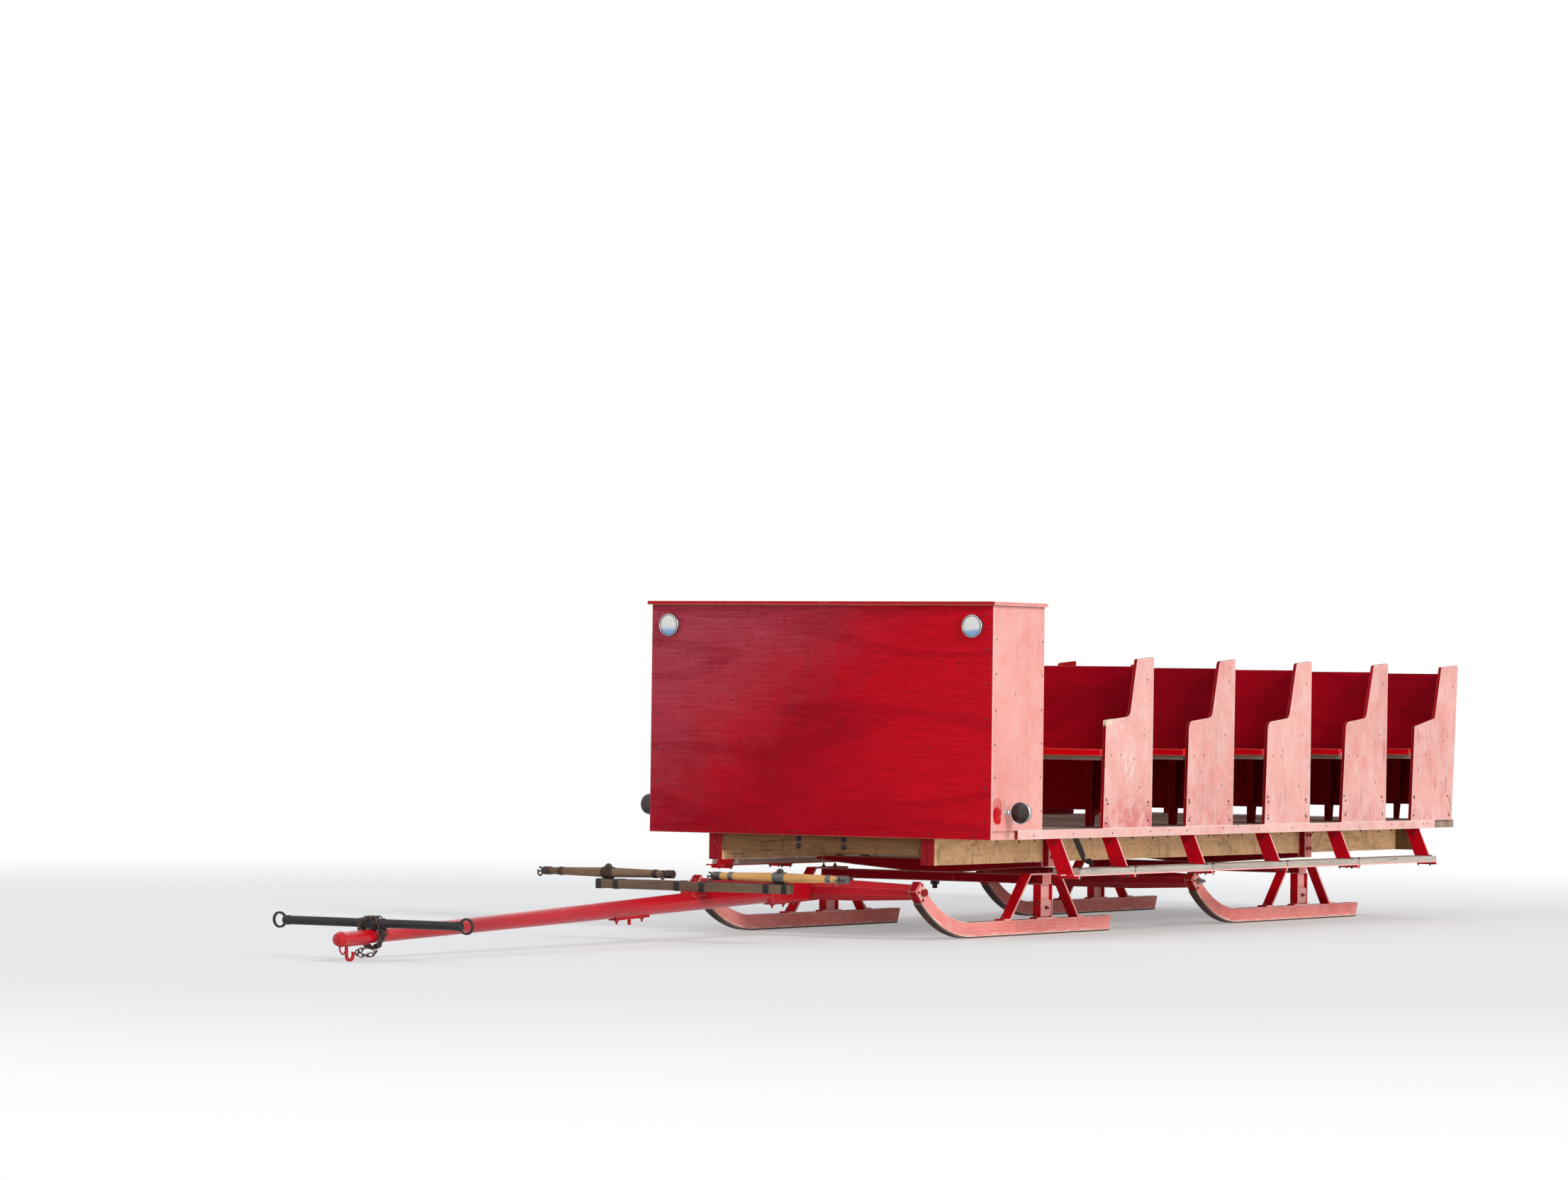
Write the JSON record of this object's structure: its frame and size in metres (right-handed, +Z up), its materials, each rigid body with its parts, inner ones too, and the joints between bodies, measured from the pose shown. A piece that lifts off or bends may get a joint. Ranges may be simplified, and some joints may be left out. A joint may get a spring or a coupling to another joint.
{
  "type": "horse drawn passenger bob sleigh",
  "caption": "Long plank-bed sleigh with cross benches and a tall front box, on two short bob sleds that steer, with pole, evener bars and neck yoke.",
  "frame": {"origin": "on the ground under the middle of the overall length, on the middle plane", "axes": "+X forward along the pole, +Y to the sleigh's left, +Z up"},
  "size_m": [9.9266, 2.416, 1.77],
  "materials": {
    "red_paint": "weathered gloss paint on plywood",
    "dark_red_paint": "dark red paint on rough wood",
    "red_pole_paint": "gloss red paint, worn",
    "red_iron": "red paint on flat iron, rust at edges",
    "deck_wood": "grey weathered planks",
    "grey_wood": "bleached, scuffed",
    "sill_wood": "sun bleached timber",
    "evener_wood": "oiled hardwood with iron ends",
    "shoe_steel": "dark worn steel",
    "black_iron": "black paint",
    "lamp_chrome": "polished",
    "lamp_glass": "fluted lens"
  },
  "bodies": {
    "body": {"floor_planks": "deck_wood", "side_rails": "red_paint", "sills": "sill_wood", "cross_beams": "sill_wood", "bolsters": "dark_red_paint", "bolster_stakes": "dark_red_paint", "king_pins": "black_iron", "step_irons_left": "red_iron", "step_irons_right": "red_iron", "step_boards": "grey_wood", "front_panel": "red_paint", "box_sides": "red_paint", "box_cap": "red_paint", "box_frame": "red_paint", "bench_1_ends": "red_paint", "bench_1_seat": "red_paint", "bench_1_back": "red_paint", "bench_2_ends": "red_paint", "bench_2_seat": "red_paint", "bench_2_back": "red_paint", "bench_3_ends": "red_paint", "bench_3_seat": "red_paint", "bench_3_back": "red_paint", "bench_4_ends": "red_paint", "bench_4_seat": "red_paint", "bench_4_back": "red_paint", "bench_5_ends": "red_paint", "bench_5_seat": "red_paint", "bench_5_back": "red_paint", "seat_bearers": "grey_wood", "bench_legs": "red_paint", "lamp_bowls": "lamp_chrome", "lamp_lenses": "lamp_glass"},
    "front_bob": {"front_bob_runners": "dark_red_paint", "front_bob_shoes": "shoe_steel", "front_bob_nose_irons": "red_iron", "front_bob_posts": "red_iron", "front_bob_trusses": "red_iron", "front_bob_beam": "dark_red_paint"},
    "rear_bob": {"rear_bob_runners": "dark_red_paint", "rear_bob_shoes": "shoe_steel", "rear_bob_nose_irons": "red_iron", "rear_bob_roller": "red_pole_paint", "rear_bob_posts": "red_iron", "rear_bob_trusses": "red_iron", "rear_bob_beam": "dark_red_paint"},
    "pole": {"pole": "red_pole_paint", "pole_irons": "red_iron", "front_bob_roller": "red_pole_paint"},
    "doubletree": {"doubletree": "evener_wood"},
    "singletree_left": {"singletree_left": "evener_wood"},
    "singletree_right": {"singletree_right": "evener_wood"},
    "neck_yoke": {"neck_yoke": "black_iron"}
  },
  "joints": [
    {"name": "front_bob_steer", "type": "hinge", "parent": "body", "child": "front_bob", "pos_m": [-0.55229, 0, 0.295], "axis": [0, 0, 1], "range_deg": [-35, 35]},
    {"name": "rear_bob_swivel", "type": "hinge", "parent": "body", "child": "rear_bob", "pos_m": [-3.62229, 0, 0.295], "axis": [0, 0, 1], "range_deg": [-10, 10]},
    {"name": "pole_lift", "type": "hinge", "parent": "front_bob", "child": "pole", "pos_m": [0.78682, 0, 0.25145], "axis": [0, -1, 0], "range_deg": [0, 40]},
    {"name": "doubletree_swing", "type": "hinge", "parent": "pole", "child": "doubletree", "pos_m": [1.88805, 0, 0.26694], "axis": [0.0353, 0, 0.9994], "range_deg": [-20, 20]},
    {"name": "singletree_left_swing", "type": "hinge", "parent": "doubletree", "child": "singletree_left", "pos_m": [1.89084, 0.52, 0.34619], "axis": [0.0353, 0, 0.9994], "range_deg": [-30, 30]},
    {"name": "singletree_right_swing", "type": "hinge", "parent": "doubletree", "child": "singletree_right", "pos_m": [1.89084, -0.52, 0.34619], "axis": [0.0353, 0, 0.9994], "range_deg": [-30, 30]},
    {"name": "neck_yoke_swing", "type": "hinge", "parent": "pole", "child": "neck_yoke", "pos_m": [4.67653, 0, 0.1749], "axis": [0.0353, 0, 0.9994], "range_deg": [-20, 20]}
  ]
}
